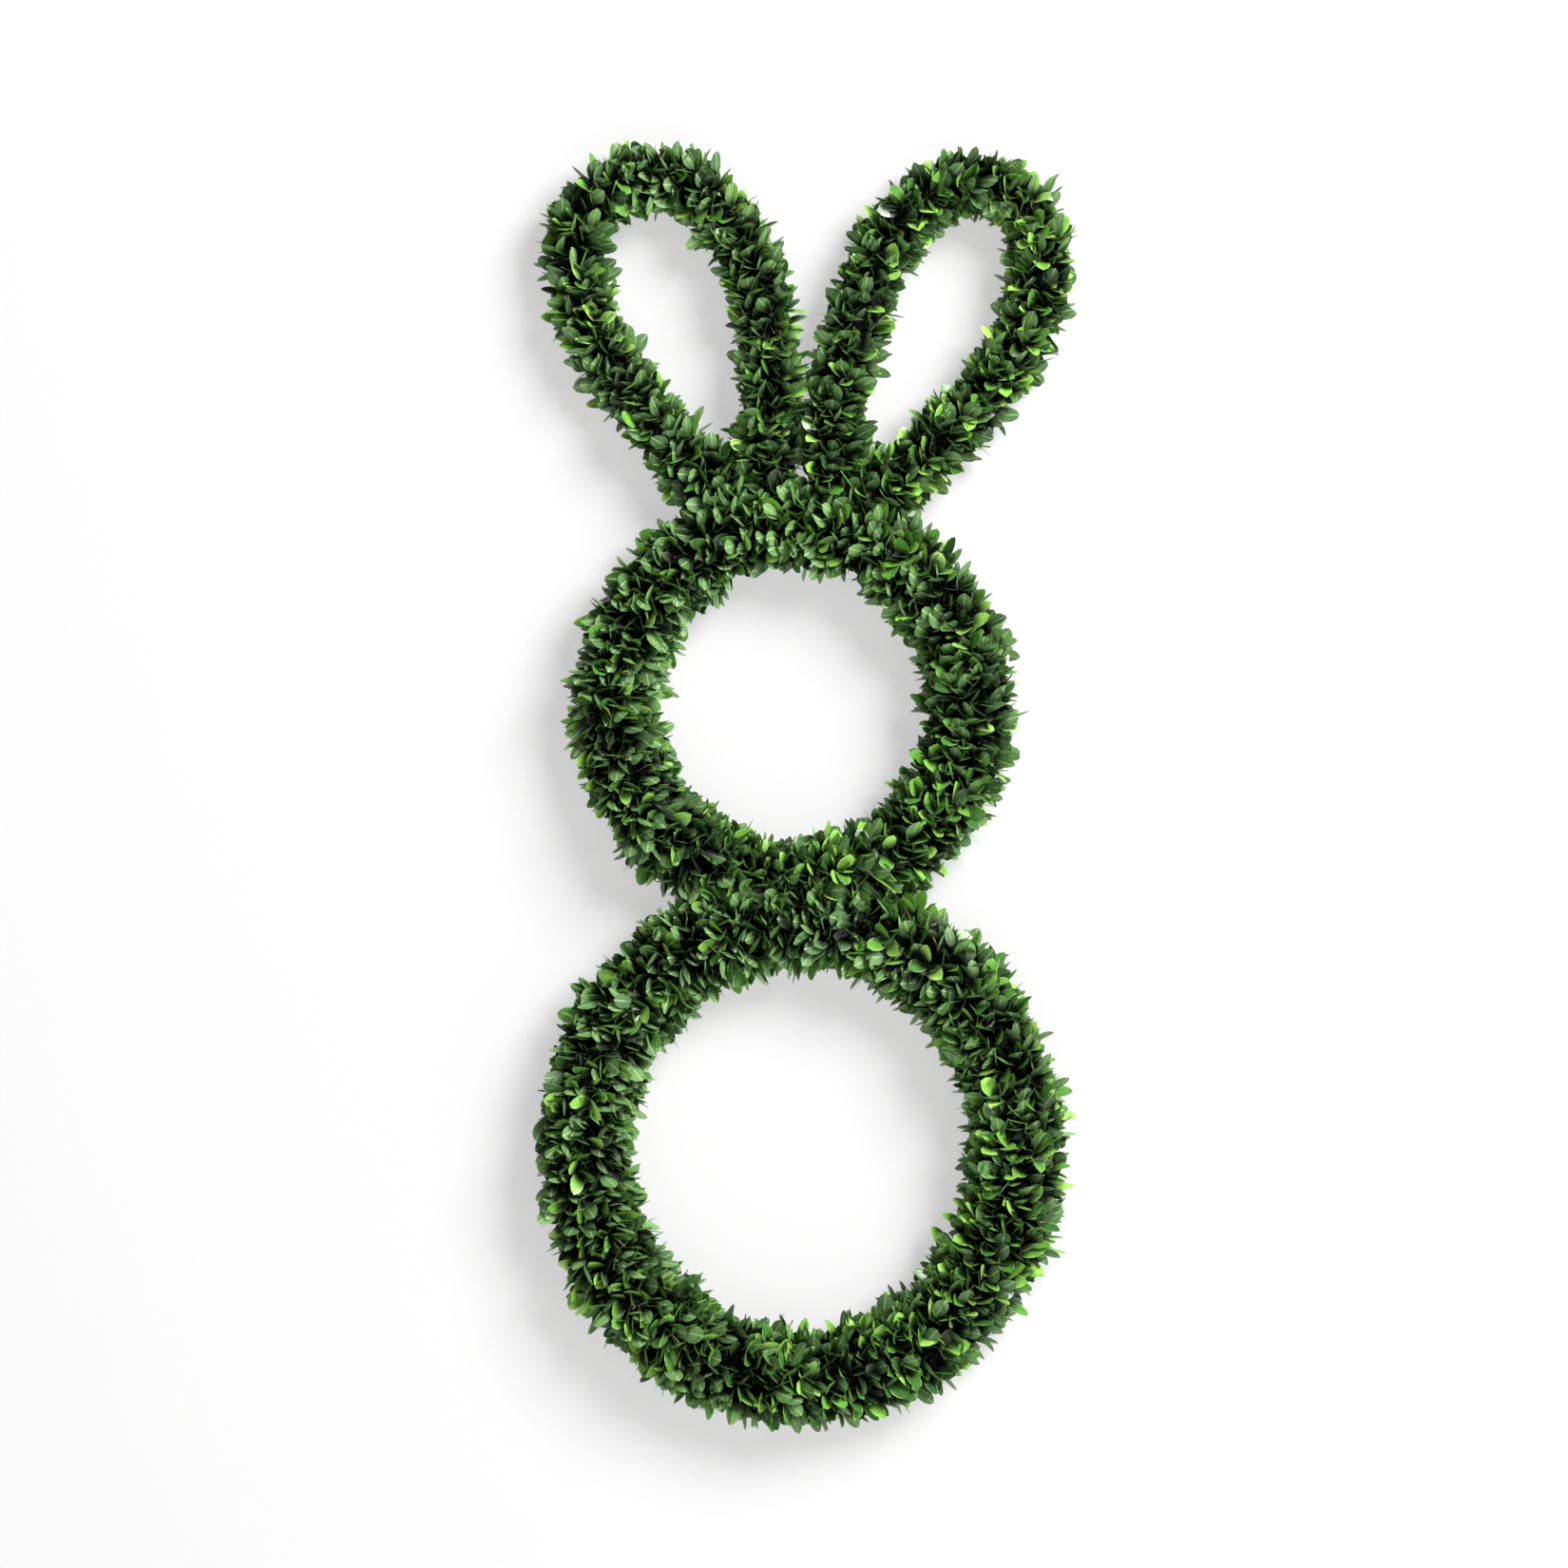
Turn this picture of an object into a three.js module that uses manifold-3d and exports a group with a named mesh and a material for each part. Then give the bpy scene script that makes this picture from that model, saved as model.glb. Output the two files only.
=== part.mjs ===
import * as THREE from "three";
import { mergeVertices } from "three/addons/utils/BufferGeometryUtils.js";
import Module from "manifold-3d";

// A boxwood wreath in the outline of a rabbit: a body ring, a head ring and two ear loops of
// frame wire, covered in bunches of leaves. Millimetres, X to the right, Z up, front to -Y.
// The origin is where a wall hook bears in the hanging loop.

const wasm = await Module();
wasm.setup();

const degree = Math.PI / 180;
const gap = 0.3; // between pieces that touch
const finest = 0.01; // details smaller than this are smoothed away

const wireRadius = 1.8;
const wireSides = 6;
const wireRoom = 0.45; // that the leaves leave round a frame wire

const headRing = { centreX: 1, centreZ: -157, halfWidth: 126, halfHeight: 126 };
const bodyRing = { centreX: 7, centreZ: -469.5, halfWidth: 153, halfHeight: 161.5 };

// An ear loop is a teardrop on an axis that leans from its root; its feet cross behind the head
// ring wire.
const earRootX = 22;
const earRootDrop = 13;
const earDepth = 2 * wireRadius + gap;
const earTaper = 1.4;
const leftEar = { side: -1, lean: -21.8 * degree, length: 278, spread: 84, bow: 3 };
const rightEar = { side: 1, lean: 27.3 * degree, length: 285, spread: 80.5, bow: 5 };
const earFoot = 0.0138; // share of the teardrop's length that is left out at each foot

const neckStrut = { offset: 30, overrun: 6 };

// The leaves of two neighbouring loops part halfway between them.
const bodyTop = bodyRing.centreZ + bodyRing.halfHeight;
const neckZ = (headRing.centreZ - headRing.halfHeight + bodyTop) / 2;
const crownZ = -8; // between the head and the ears
const earsMeetX = 5;

// The loop's feet stand behind the head ring wire; its legs bend back over the height from
// bendStart to bendEnd, measured up from that wire.
const hangingLoop = {
  wireRadius: 1.2,
  halfWidth: 9,
  depth: 20.5,
  footDrop: 2.4,
  bendStart: 2,
  bendEnd: 14,
  sides: 5,
  steps: 20,
};
const hookPocket = { halfWidth: 13, bottom: -36, top: 10, front: earDepth - 2.5, back: 60 };
// The bunch at the top of the head ring has no leaves further back than the hook's pocket.
const bareBack = { halfWidth: 52, bottom: -70 };

// A bunch has a core of stems and rows of leaves, each as many as go round it, whose tips reach
// the envelope.
const bodyBunch = {
  count: 12,
  steps: 2,
  core: { radial: 27, front: 25, back: 18 },
  reach: { radial: 38, front: 37, back: 24.5 },
  rows: 4,
  around: 9,
};
const headBunch = {
  count: 10,
  steps: 2,
  core: { radial: 24.5, front: 23, back: 17 },
  reach: { radial: 35, front: 34, back: 23.5 },
  rows: 4,
  around: 8,
  bare: 5, // which of the bunches is bare behind, where the hanging loop is tied on
};
const earBunch = {
  count: 10,
  steps: 2,
  core: { radial: 17, front: 16, back: 12 },
  reach: { radial: 27, front: 26, back: 19 },
  rows: 3,
  around: 6,
};
const earRootSteps = 3;
const earRootRows = 4;

const leaf = {
  length: 1.4, // in rows
  lengthSpread: [0.9, 1.1], // times the length
  rise: [0.8, 1.05], // height of the tip, as a share of the way from the core to the envelope
  strayRise: [1.1, 1.2],
  widestAt: 0.5, // share of the length
  widestRise: 0.5, // height of the leaf there, as a share of its rise
  narrow: 0.33, // half width of the narrowest and of the broadest leaf, in leaf spaces round
  broad: 0.4,
  sway: 0.36, // of the tip to either side, in leaf spaces round
  midribSway: 0.5, // of the midrib and of the edges, as a share of the tip's sway
  edgeSway: 0.25,
  roll: 0.12, // of one edge over the other, as a share of the leaf's rise
  midrib: 0.15, // its height over the rim, as a share of the leaf's rise
  stray: 0.1, // share of the leaves that stand out from the rest
};
const stemShift = 0.06; // of a leaf's root from its place in the row, in rows or leaf spaces

const frameGreen = { color: 0x2f4a2b, roughness: 0.5, metalness: 0.3 };
const leafGreen = { color: 0x4f7a34, roughness: 0.45, metalness: 0 };
const loopSteel = { color: 0x8a8f8c, roughness: 0.4, metalness: 0.9 };

function seededRandom(seed) {
  let state = seed;
  return () => {
    state = (Math.imul(state, 1664525) + 1013904223) >>> 0;
    return state / 2 ** 32;
  };
}

// A closed loop in the XZ plane; outline(t) gives [x, z] and runs round it as seen from the front.
class FlatLoop extends THREE.Curve {
  constructor(outline, depth) {
    super();
    this.outline = outline;
    this.depth = depth;
  }

  getPoint(t, target = new THREE.Vector3()) {
    const [x, z] = this.outline(t - Math.floor(t));
    return target.set(x, this.depth, z);
  }
}

// The part of a loop between two shares of its length, run forwards or backwards. Its sections
// have their x axis pointing away from the inside of the loop.
class Stretch extends THREE.Curve {
  constructor(loop, start, end) {
    super();
    this.loop = loop;
    this.start = start;
    this.end = end;
  }

  loopShare(t) {
    const u = this.start + (this.end - this.start) * t;
    return u - Math.floor(u);
  }

  getPoint(t, target = new THREE.Vector3()) {
    return this.loop.getPointAt(this.loopShare(t), target);
  }

  getPointAt(t, target) {
    return this.getPoint(t, target);
  }

  frameAt(t) {
    const tangent = this.loop.getTangentAt(this.loopShare(t));
    const away = new THREE.Vector3(0, 1, 0).cross(tangent);
    tangent.multiplyScalar(Math.sign(this.end - this.start));
    return { tangent, away, across: tangent.clone().cross(away) };
  }

  computeFrenetFrames(steps) {
    const frames = Array.from({ length: steps + 1 }, (_, i) => this.frameAt(i / steps));
    return {
      tangents: frames.map((frame) => frame.tangent),
      normals: frames.map((frame) => frame.away),
      binormals: frames.map((frame) => frame.across),
    };
  }
}

function ringLoop({ centreX, centreZ, halfWidth, halfHeight }, startAngle) {
  const outline = (t) => {
    const angle = startAngle + 2 * Math.PI * t;
    return [centreX + halfWidth * Math.cos(angle), centreZ + halfHeight * Math.sin(angle)];
  };
  return new FlatLoop(outline, 0);
}

function earLoop({ side, lean, length, spread, bow }) {
  const rootZ = headRing.centreZ + Math.sqrt(headRing.halfHeight ** 2 - earRootX ** 2);
  const outline = (t) => {
    const turn = 2 * Math.PI * t;
    const along = (length * (1 - Math.cos(turn))) / 2 - earRootDrop;
    const taper = Math.sin(turn / 2) ** earTaper;
    const across = spread * Math.sin(turn) * taper + bow * Math.sin((Math.PI * along) / length);
    return [
      headRing.centreX + side * earRootX + along * Math.sin(lean) + across * Math.cos(lean),
      rootZ + along * Math.cos(lean) - across * Math.sin(lean),
    ];
  };
  return new FlatLoop(outline, earDepth);
}

function polygonSection(sides, { radial, front, back }) {
  const points = Array.from({ length: sides }, (_, i) => {
    const angle = (2 * Math.PI * (i + 0.5)) / sides;
    const depth = Math.sin(angle) < 0 ? front : back;
    return new THREE.Vector2(radial * Math.cos(angle), depth * Math.sin(angle));
  });
  return new THREE.Shape(points);
}

function roundSection(sides, radius) {
  return polygonSection(sides, { radial: radius, front: radius, back: radius });
}

function solidOf(geometry) {
  const bare = geometry.index ? geometry.toNonIndexed() : geometry.clone();
  bare.deleteAttribute("normal");
  bare.deleteAttribute("uv");
  const merged = mergeVertices(bare, 1e-4);
  return new wasm.Manifold(
    new wasm.Mesh({
      numProp: 3,
      vertProperties: merged.attributes.position.array,
      triVerts: new Uint32Array(merged.index.array),
    }),
  );
}

function geometryOf(solid) {
  const mesh = solid.getMesh();
  const geometry = new THREE.BufferGeometry();
  geometry.setAttribute("position", new THREE.BufferAttribute(mesh.vertProperties, 3));
  geometry.setIndex(new THREE.BufferAttribute(mesh.triVerts, 1));
  return geometry;
}

function tubeAlong(path, shape, steps) {
  const options = { steps, bevelEnabled: false, extrudePath: path };
  return solidOf(new THREE.ExtrudeGeometry(shape, options));
}

// A closed ring of wire: the section turned about the Y axis and stretched to the ring's oval.
function ringWire({ centreX, centreZ, halfWidth, halfHeight }, room, steps, startAngle) {
  const radius = wireRadius + room;
  const profile = Array.from({ length: wireSides + 1 }, (_, i) => {
    const angle = (2 * Math.PI * ((i % wireSides) + 0.5)) / wireSides;
    return new THREE.Vector2(halfHeight + radius * Math.cos(angle), radius * Math.sin(angle));
  });
  const geometry = new THREE.LatheGeometry(profile, steps, Math.PI / 2 - startAngle);
  geometry.scale(halfWidth / halfHeight, 1, 1);
  geometry.translate(centreX, 0, centreZ);
  return solidOf(geometry);
}

// The height of a ring's wire at a distance sideways from its centre; up is 1 at the top of the
// ring and -1 at its bottom.
function wireHeight({ centreZ, halfWidth, halfHeight }, sideways, up) {
  return centreZ + up * halfHeight * Math.sqrt(1 - (sideways / halfWidth) ** 2);
}

function neckStrutWire(side, room) {
  const x = (headRing.centreX + bodyRing.centreX) / 2 + side * neckStrut.offset;
  const top = wireHeight(headRing, x - headRing.centreX, -1) + neckStrut.overrun;
  const bottom = wireHeight(bodyRing, x - bodyRing.centreX, 1) - neckStrut.overrun;
  const radius = wireRadius + room;
  const length = top - bottom + 2 * room;
  const geometry = new THREE.CylinderGeometry(radius, radius, length, wireSides);
  geometry.rotateX(Math.PI / 2);
  geometry.translate(x, earDepth, (top + bottom) / 2);
  return solidOf(geometry);
}

function earWire(loop, room) {
  const foot = earFoot - room / loop.getLength();
  const section = roundSection(wireSides, wireRadius + room);
  return tubeAlong(new Stretch(loop, foot, 1 - foot), section, earSteps);
}

// Two feet behind the head ring wire, legs that run up and back, and a half round over the hook.
function hangingWire() {
  const { wireRadius: radius, halfWidth, depth, footDrop, bendStart, bendEnd } = hangingLoop;
  const ringZ = headRing.centreZ + headRing.halfHeight;
  const arcZ = radius - halfWidth;
  const footDepth = wireRadius + gap + radius;
  const leg = (side) => [
    new THREE.Vector3(side * halfWidth, footDepth, ringZ - footDrop),
    new THREE.Vector3(side * halfWidth, footDepth, ringZ + bendStart),
    new THREE.Vector3(side * halfWidth, (footDepth + depth) / 2, ringZ + (bendStart + bendEnd) / 2),
    new THREE.Vector3(side * halfWidth, depth, ringZ + bendEnd),
    new THREE.Vector3(side * halfWidth, depth, arcZ),
  ];
  const arc = [45, 90, 135].map((angle) => {
    const x = halfWidth * Math.cos(angle * degree);
    return new THREE.Vector3(x, depth, arcZ + halfWidth * Math.sin(angle * degree));
  });
  const path = new THREE.CatmullRomCurve3([...leg(1), ...arc, ...leg(-1).reverse()]);
  return tubeAlong(path, roundSection(hangingLoop.sides, radius), hangingLoop.steps);
}

// The triangles that close the end of a bunch: a large one, whose sides stay clear of the wire's
// hollow, and fans between it and the rim.
function endTriangles(around) {
  const corners = [0, Math.floor(around / 3), Math.floor((2 * around) / 3)];
  const ends = [corners[1], corners[2], around];
  const fans = corners.flatMap((corner, side) =>
    Array.from({ length: ends[side] - corner - 1 }, (_, i) => [
      corner,
      corner + i + 1,
      (corner + i + 2) % around,
    ]),
  );
  return [corners, ...fans];
}

// Leaves in rows round a stretch, each row overlapping the next. A point is given by its share of
// the stretch, its angle round it and its height from the core, 0, to the envelope, 1. Row r of
// leaves stands between rings r and r + 1 of points on the core, which are half a leaf apart
// round the bunch. Each leaf keeps to its own sector, so that neighbours never cross.
function leafyTube(path, { core, reach, around }, rows, random, lastShare) {
  const points = [];
  const triangles = [];
  const between = (low, high) => low + (high - low) * random();
  const place = (share, turn, height) => {
    const angle = (2 * Math.PI * turn) / around;
    const { away, across } = path.frameAt(share);
    const side = across.y * Math.sin(angle) < 0 ? "front" : "back";
    const radial = core.radial + height * (reach.radial - core.radial);
    const depth = core[side] + height * (reach[side] - core[side]);
    const point = path.getPoint(share);
    point.addScaledVector(away, radial * Math.cos(angle));
    point.addScaledVector(across, depth * Math.sin(angle));
    return points.push(...point.toArray()) / 3 - 1;
  };

  const rings = Array.from({ length: rows + 1 }, (_, ring) => {
    const loose = ring > 0 && ring < rows ? stemShift : 0;
    return Array.from({ length: around }, (_, i) =>
      place((ring + between(-loose, loose)) / rows, i + ring / 2 + between(-loose, loose), 0),
    );
  });

  for (let row = 0; row < rows; row += 1) {
    for (let i = 0; i < around; i += 1) {
      const next = (i + 1) % around;
      const [left, right] = [rings[row][i], rings[row][next]];
      const [under, underNext] = [rings[row + 1][i], rings[row + 1][next]];
      const middle = i + row / 2 + 0.5;
      const lift = between(...(random() < leaf.stray ? leaf.strayRise : leaf.rise));
      const roll = between(-leaf.roll, leaf.roll);
      const sway = between(-leaf.sway, leaf.sway);
      const span = leaf.length * between(...leaf.lengthSpread);
      const at = (share, turn, height) =>
        place(Math.min((row + share * span) / rows, lastShare), middle + turn, lift * height);
      const wide = (side) => sway * leaf.edgeSway + side * between(leaf.narrow, leaf.broad);
      const wideLeft = at(leaf.widestAt, wide(-1), leaf.widestRise + roll);
      const wideRight = at(leaf.widestAt, wide(1), leaf.widestRise - roll);
      const tip = at(1, sway, 1);
      const midrib = at(leaf.widestAt, sway * leaf.midribSway, leaf.widestRise + leaf.midrib);
      triangles.push(left, right, midrib, right, wideRight, midrib, wideRight, tip, midrib);
      triangles.push(tip, wideLeft, midrib, wideLeft, left, midrib);
      triangles.push(wideLeft, tip, wideRight, left, wideLeft, under);
      triangles.push(wideLeft, wideRight, under, wideRight, right, under);
      triangles.push(right, underNext, under);
    }
  }

  const [first, last] = [rings[0], rings[rows]];
  for (const [a, b, c] of endTriangles(around)) {
    triangles.push(first[a], first[c], first[b]);
    triangles.push(last[a], last[b], last[c]);
  }
  return new wasm.Manifold(
    new wasm.Mesh({
      numProp: 3,
      vertProperties: new Float32Array(points),
      triVerts: new Uint32Array(triangles),
    }),
  );
}

const root = new THREE.Group();

// Depths are counted from the ring wires until here, and from the hanging loop from here on.
function addPiece(name, solid, finish) {
  const geometry = geometryOf(solid).translate(0, -hangingLoop.depth, 0);
  const mesh = new THREE.Mesh(geometry, new THREE.MeshStandardMaterial(finish));
  mesh.name = name;
  root.add(mesh);
}

const random = seededRandom(3);

const bodyStart = 75 * degree;
const headStart = 252 * degree;
const bodyLoop = ringLoop(bodyRing, bodyStart);
const headLoop = ringLoop(headRing, headStart);
const leftLoop = earLoop(leftEar);
const rightLoop = earLoop(rightEar);
const bodySteps = bodyBunch.count * bodyBunch.steps;
const headSteps = headBunch.count * headBunch.steps;
const earSteps = earBunch.count * earBunch.steps + 2 * earRootSteps;
const earStep = (1 - 2 * earFoot) / earSteps;

const wires = {
  body_ring_wire: (room) => ringWire(bodyRing, room, bodySteps, bodyStart),
  head_ring_wire: (room) => ringWire(headRing, room, headSteps, headStart),
  left_ear_wire: (room) => earWire(leftLoop, room),
  right_ear_wire: (room) => earWire(rightLoop, room),
  neck_strut_left: (room) => neckStrutWire(-1, room),
  neck_strut_right: (room) => neckStrutWire(1, room),
};

function box(low, high) {
  const size = high.map((value, i) => value - low[i]);
  const geometry = new THREE.BoxGeometry(...size);
  geometry.translate(...high.map((value, i) => (value + low[i]) / 2));
  return solidOf(geometry);
}

// Where the leaves of one loop press against those of the next, they part at a plane.
const far = 1000;
const part = gap / 2;
const spaces = {
  body: box([-far, -far, -far], [far, far, neckZ - part]),
  head: box([-far, -far, neckZ + part], [far, far, crownZ - part]),
  left_ear: box([-far, -far, crownZ + part], [earsMeetX - part, far, far]),
  right_ear: box([earsMeetX + part, -far, crownZ + part], [far, far, far]),
};

// What the leaves keep clear of: the wires with their room, and the pocket behind the head where
// the wall hook reaches the hanging loop.
const pocket = box(
  [-hookPocket.halfWidth, hookPocket.front, hookPocket.bottom],
  [hookPocket.halfWidth, hookPocket.back, hookPocket.top],
);
const bare = box(
  [-bareBack.halfWidth, hookPocket.front, bareBack.bottom],
  [bareBack.halfWidth, far, crownZ],
);
const bores = Object.values(wires).map((wire) => wire(wireRoom));
const keepOut = wasm.Manifold.union([...bores, pocket]);

const largest = (solid) =>
  solid.decompose().reduce((best, piece) => (piece.volume() > best.volume() ? piece : best));

function addBunch(name, tubes, space) {
  const whole = wasm.Manifold.union(tubes).intersect(space).subtract(keepOut);
  addPiece(name, largest(whole).simplify(finest), leafGreen);
}

const numbered = (name, i) => `${name}_${String(i + 1).padStart(2, "0")}`;

function addRing(name, bunch, loop, space) {
  const trim = gap / 2 / loop.getLength();
  for (let i = 0; i < bunch.count; i += 1) {
    const path = new Stretch(loop, i / bunch.count + trim, (i + 1) / bunch.count - trim);
    const room = i === bunch.bare ? space.subtract(bare) : space;
    addBunch(numbered(name, i), [leafyTube(path, bunch, bunch.rows, random, far)], room);
  }
}

// The leaves of an ear point up both sides, from the root to the top, where the tips meet.
function addEar(name, loop, space) {
  const trim = gap / 2 / loop.getLength();
  const rootEnd = earFoot + earRootSteps * earStep;
  const roots = [
    new Stretch(loop, earFoot, rootEnd - trim),
    new Stretch(loop, 1 - earFoot, 1 - rootEnd + trim),
  ].map((path) => leafyTube(path, earBunch, earRootRows, random, far));
  addBunch(`${name}_root_foliage`, roots, space);
  const half = earBunch.count / 2;
  for (let i = 0; i < earBunch.count; i += 1) {
    const rising = i < half;
    const start = rootEnd + i * earBunch.steps * earStep + trim;
    const end = start + earBunch.steps * earStep - 2 * trim;
    const path = rising ? new Stretch(loop, start, end) : new Stretch(loop, end, start);
    const lastShare = i === half - 1 || i === half ? 1 : far;
    const tube = leafyTube(path, earBunch, earBunch.rows, random, lastShare);
    addBunch(numbered(`${name}_foliage`, i), [tube], space);
  }
}

for (const [name, wire] of Object.entries(wires)) {
  addPiece(name, wire(0), frameGreen);
}
addPiece("hanging_loop", hangingWire(), loopSteel);
addRing("body_foliage", bodyBunch, bodyLoop, spaces.body);
addRing("head_foliage", headBunch, headLoop, spaces.head);
addEar("left_ear", leftLoop, spaces.left_ear);
addEar("right_ear", rightLoop, spaces.right_ear);

export default root;
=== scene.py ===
import math
import bpy
import numpy as np
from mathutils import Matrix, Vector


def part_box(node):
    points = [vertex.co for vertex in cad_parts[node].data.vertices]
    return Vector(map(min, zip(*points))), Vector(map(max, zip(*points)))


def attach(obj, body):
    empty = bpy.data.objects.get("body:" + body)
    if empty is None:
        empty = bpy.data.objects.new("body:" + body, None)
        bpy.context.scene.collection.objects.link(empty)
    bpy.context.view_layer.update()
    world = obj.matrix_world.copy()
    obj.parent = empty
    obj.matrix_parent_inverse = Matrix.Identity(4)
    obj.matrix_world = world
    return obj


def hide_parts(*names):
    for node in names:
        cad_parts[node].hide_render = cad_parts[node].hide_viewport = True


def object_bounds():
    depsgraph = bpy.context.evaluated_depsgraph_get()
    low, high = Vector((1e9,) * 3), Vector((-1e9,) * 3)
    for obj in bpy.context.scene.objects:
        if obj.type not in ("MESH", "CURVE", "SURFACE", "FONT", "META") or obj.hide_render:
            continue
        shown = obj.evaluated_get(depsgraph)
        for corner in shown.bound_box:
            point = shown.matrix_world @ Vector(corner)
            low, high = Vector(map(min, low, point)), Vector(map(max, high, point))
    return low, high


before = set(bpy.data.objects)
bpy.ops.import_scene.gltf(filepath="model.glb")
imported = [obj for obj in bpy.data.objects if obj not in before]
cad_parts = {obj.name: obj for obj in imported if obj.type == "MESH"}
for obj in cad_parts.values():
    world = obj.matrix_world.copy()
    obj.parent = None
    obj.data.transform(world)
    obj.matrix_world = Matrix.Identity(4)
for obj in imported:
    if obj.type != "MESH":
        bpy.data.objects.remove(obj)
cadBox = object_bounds()
mm = 0.001
degree = math.pi / 180
frontward = np.array([0.0, -1.0, 0.0])
random = np.random.default_rng(20)


# Loops: the centre lines that the leaves stand round

loops = {
    "samples": 1441,  # points in a loop's table
    "step": 1 / 720,  # share of a loop over which its direction is taken
    "wireRadius": 1.8 * mm,
    "bodyStart": 75 * degree,  # where the first bunch starts, anticlockwise from the right
    "headStart": 252 * degree,
    "leftEar": {"side": -1, "lean": -21.8 * degree, "length": 278 * mm, "spread": 84 * mm, "bow": 3 * mm},
    "rightEar": {"side": 1, "lean": 27.3 * degree, "length": 285 * mm, "spread": 80.5 * mm, "bow": 5 * mm},
    "earRoot": 22 * mm,  # of each ear's root from the head's middle
    "earDrop": 13 * mm,  # of its lowest point under the head ring
    "earTaper": 1.4,
    "earFoot": 0.0138,  # share of the loop that is left out at each foot
}


# A closed line in the XZ plane as a table: points at even steps, and the share of the length
# that lies before each of them.
def tableOf(outline, depth):
    x, z = outline(np.linspace(0, 1, loops["samples"]))
    run = np.concatenate([[0], np.cumsum(np.hypot(np.diff(x), np.diff(z)))])
    return {"x": x, "z": z, "share": run / run[-1], "length": run[-1], "depth": depth}


# An ellipse: centre + half sizes * (cos, sin) of the angle, with the size of the wire's own node.
def ringLine(node, startAngle):
    low, high = (np.array(corner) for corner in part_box(node))
    centre = (low + high) / 2
    half = (high - low) / 2 - loops["wireRadius"]

    def outline(t):
        angle = startAngle + 2 * np.pi * t
        return centre[0] + half[0] * np.cos(angle), centre[2] + half[2] * np.sin(angle)

    return tableOf(outline, centre[1]), centre, half


# A teardrop: the way along its axis goes as 1 - cos, the way across as sin times a power of the
# half angle's sin, plus a small bow; both are then turned by the axis's lean.
def earLine(node, ear, headCentre, headHalf):
    low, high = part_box(node)
    rootX = headCentre[0] + ear["side"] * loops["earRoot"]
    rootZ = headCentre[2] + math.sqrt(headHalf[2] ** 2 - loops["earRoot"] ** 2)

    def outline(t):
        turn = 2 * np.pi * t
        along = ear["length"] * (1 - np.cos(turn)) / 2 - loops["earDrop"]
        taper = np.abs(np.sin(turn / 2)) ** loops["earTaper"]
        bow = ear["bow"] * np.sin(np.pi * along / ear["length"])
        across = ear["spread"] * np.sin(turn) * taper + bow
        lean = ear["lean"]
        x = rootX + along * math.sin(lean) + across * math.cos(lean)
        return x, rootZ + along * math.cos(lean) - across * math.sin(lean)

    return tableOf(outline, (low[1] + high[1]) / 2)


# Point, direction and away from the loop's inside, at each share of a loop's length.
def lineAt(line, share):
    def pointAt(where):
        where = where % 1
        x = np.interp(where, line["share"], line["x"])
        z = np.interp(where, line["share"], line["z"])
        return np.stack([x, np.full_like(x, line["depth"]), z], axis=-1)

    step = loops["step"]
    ahead = unit(pointAt(share + step) - pointAt(share - step))
    away = np.stack([ahead[..., 2], np.zeros_like(ahead[..., 0]), -ahead[..., 0]], axis=-1)
    return pointAt(share), ahead, away


# A vector divided by its own length.
def unit(vector):
    return vector / np.linalg.norm(vector, axis=-1, keepdims=True)


# Round the line: away * radial * cos(turn) + frontward * depth * sin(turn), so that a turn of 0
# is the outer side of the loop and a quarter turn its front.
def roundLine(line, share, turn, size):
    point, ahead, away = lineAt(line, share)
    radial, front, back = size
    depth = np.where(np.sin(turn) > 0, front, back)
    outward = away * np.cos(turn)[..., None] + frontward * np.sin(turn)[..., None]
    place = point + away * (radial * np.cos(turn))[..., None]
    place = place + frontward * (depth * np.sin(turn))[..., None]
    return place, ahead, outward


bodyLine, bodyCentre, _ = ringLine("body_ring_wire", loops["bodyStart"])
headLine, headCentre, headHalf = ringLine("head_ring_wire", loops["headStart"])
leftLine = earLine("left_ear_wire", loops["leftEar"], headCentre, headHalf)
rightLine = earLine("right_ear_wire", loops["rightEar"], headCentre, headHalf)
print("loops:", *(round(line["length"], 3) for line in (bodyLine, headLine, leftLine, rightLine)))


# Leaves. Each is a grid of stations along it by three columns across, with one more point under
# its middle, where the faces of its underside meet.

leafForm = {
    "columns": (-1, 0, 1),
    "thickness": 0.5 * mm,
    "lean": 1.15,  # of the widest place towards the tip
    "fullness": 0.58,  # a lower value makes a blunter leaf
}
upperFinish, lowerFinish, twigFinish, coreFinish = range(4)


# Points as shares along and across the leaf, and the faces as one list of corners.
def leafTemplate(stations):
    columns = leafForm["columns"]
    wide, last = len(columns), len(stations) - 1
    grid = np.arange(len(stations) * wide).reshape(-1, wide)
    root = grid.size
    tip = root + 1
    under = root + 2
    along = np.concatenate([np.repeat(stations, wide), [0, 1, 0.5]])
    across = np.concatenate([np.tile(columns, len(stations)), [0, 0, 0]])
    faces = []
    for c in range(wide - 1):
        faces.append((root, grid[0, c + 1], grid[0, c]))
        for r in range(last):
            faces.append((grid[r, c], grid[r, c + 1], grid[r + 1, c + 1], grid[r + 1, c]))
        faces.append((grid[last, c], grid[last, c + 1], tip))
    upper = len(faces)
    for side, flip in ((0, 1), (wide - 1, -1)):
        edge = [root, *grid[:, side], tip]
        faces += [(a, b, under)[::flip] for a, b in zip(edge[:-1], edge[1:])]
    index = np.arange(along.size)
    return {
        "along": along,
        "across": across,
        "under": index == under,
        "rim": (np.abs(across) == 1) | (index == root) | (index == tip),
        "corners": np.concatenate([np.array(face) for face in faces]),
        "sizes": np.array([len(face) for face in faces]),
        "lower": np.arange(len(faces)) >= upper,
    }


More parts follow.
